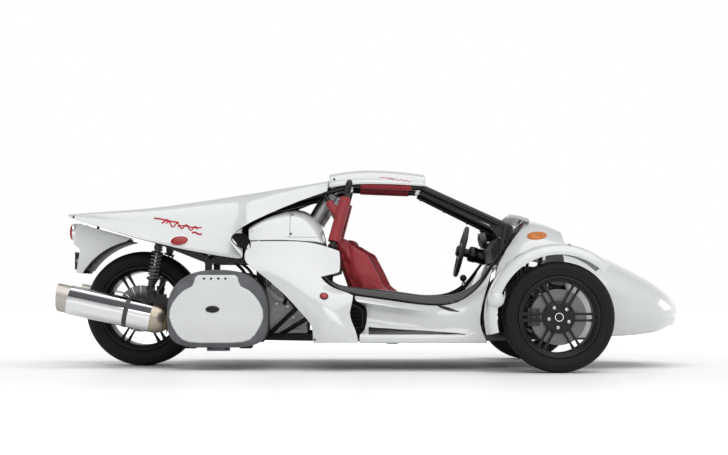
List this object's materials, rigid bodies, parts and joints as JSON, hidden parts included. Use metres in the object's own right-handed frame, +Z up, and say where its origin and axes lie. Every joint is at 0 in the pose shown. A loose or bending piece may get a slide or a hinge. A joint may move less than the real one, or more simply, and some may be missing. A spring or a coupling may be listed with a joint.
{
  "type": "three wheeled car",
  "caption": "Open two-seat sports car with a pointed nose, arched fenders over steered front wheels, a tubular cage with roof panel, a long tail over one rear wheel and side panniers.",
  "frame": {"origin": "on the ground, at the middle of the car's length and width, the wheels standing at z = 0", "axes": "+X forward to the nose, +Y to the car's left, +Z up"},
  "size_m": [3.4998, 1.982, 1.1251],
  "materials": {
    "body": "white gloss paint on composite panels",
    "frame": "black powder coat",
    "tub": "dark textured liner",
    "trim": "glossy dark trim",
    "dark_plastic": "black, slightly grained",
    "clear_plastic": "clear acrylic",
    "lamp": "bright reflector",
    "dark_metal": "dark grey satin",
    "seat_leather": "dark red leather",
    "pad_foam": "dark red covered foam",
    "mesh": "fine woven steel mesh",
    "cast_alloy": "cast alloy",
    "bright_steel": "polished steel",
    "pannier_grey": "mid grey gloss",
    "grip": "black leather grip",
    "tyre": "black rubber",
    "rim": "gloss black alloy"
  },
  "bodies": {
    "chassis": {"floor_pan": "tub", "lower_frame": "frame", "frame_fittings": "frame", "roll_cage": "frame", "nose_panel": "body", "cowl_panel": "body", "fender_left": "body", "fender_right": "body", "side_pod_left": "body", "side_pod_right": "body", "rear_quarter_left": "body", "rear_quarter_right": "body", "roof_panel": "body", "tail_panel": "body", "engine_cover": "body", "sill_trims": "trim", "intake_ducts": "dark_plastic", "rear_mudguard": "body", "wind_deflector": "clear_plastic", "lamps": "lamp", "dashboard": "dark_plastic", "steering_column": "dark_metal", "driver_controls": "dark_metal", "driver_seat": "seat_leather", "passenger_seat": "seat_leather", "cage_padding": "pad_foam", "air_filters": "mesh", "engine": "cast_alloy", "exhausts": "bright_steel", "rear_suspension": "frame", "front_suspension": "frame", "pannier_box_left": "pannier_grey", "pannier_box_right": "pannier_grey"},
    "steering_wheel": {"steering_wheel": "grip"},
    "steering_rack": {"tie_rods": "dark_metal"},
    "knuckle_left": {"knuckle_left": "cast_alloy"},
    "knuckle_right": {"knuckle_right": "cast_alloy"},
    "front_wheel_left": {"front_tyre_left": "tyre", "front_rim_left": "rim"},
    "front_wheel_right": {"front_tyre_right": "tyre", "front_rim_right": "rim"},
    "rear_wheel": {"rear_tyre": "tyre", "rear_rim": "rim"},
    "lid_left": {"pannier_lid_left": "body"},
    "lid_right": {"pannier_lid_right": "body"}
  },
  "joints": [
    {"name": "steer_left", "type": "hinge", "parent": "chassis", "child": "knuckle_left", "pos_m": [0.964, 0.85, 0.291], "axis": [0, 0, 1], "range_deg": [-28, 28]},
    {"name": "steer_right", "type": "hinge", "parent": "chassis", "child": "knuckle_right", "pos_m": [0.964, -0.85, 0.291], "axis": [0, 0, 1], "range_deg": [-28, 28]},
    {"name": "steering_wheel_turn", "type": "hinge", "parent": "chassis", "child": "steering_wheel", "pos_m": [0.524, 0.27, 0.66], "axis": [-0.9703, 0, 0.2419], "range_deg": [-270, 270]},
    {"name": "rack_slide", "type": "slide", "parent": "chassis", "child": "steering_rack", "axis": [0, 1, 0], "range_m": [-0.0565, 0.0565]},
    {"name": "front_left_spin", "type": "hinge", "parent": "knuckle_left", "child": "front_wheel_left", "pos_m": [0.964, 0.885, 0.291], "axis": [0, 1, 0], "continuous": true},
    {"name": "front_right_spin", "type": "hinge", "parent": "knuckle_right", "child": "front_wheel_right", "pos_m": [0.964, -0.885, 0.291], "axis": [0, 1, 0], "continuous": true},
    {"name": "rear_spin", "type": "hinge", "parent": "chassis", "child": "rear_wheel", "pos_m": [-1.322, 0, 0.327], "axis": [0, 1, 0], "continuous": true},
    {"name": "left_lid_hinge", "type": "hinge", "parent": "chassis", "child": "lid_left", "pos_m": [-0.845, 0.60025, 0.11], "axis": [-1, 0, 0], "range_deg": [0, 60]},
    {"name": "right_lid_hinge", "type": "hinge", "parent": "chassis", "child": "lid_right", "pos_m": [-0.845, -0.60025, 0.11], "axis": [1, 0, 0], "range_deg": [0, 60]}
  ],
  "couplings": [
    {"joint": "steer_right", "follows": "steer_left", "ratio": 1},
    {"joint": "steering_wheel_turn", "follows": "steer_left", "ratio": 9.64},
    {"joint": "rack_slide", "follows": "steer_left", "m_per_rad": -0.115}
  ]
}
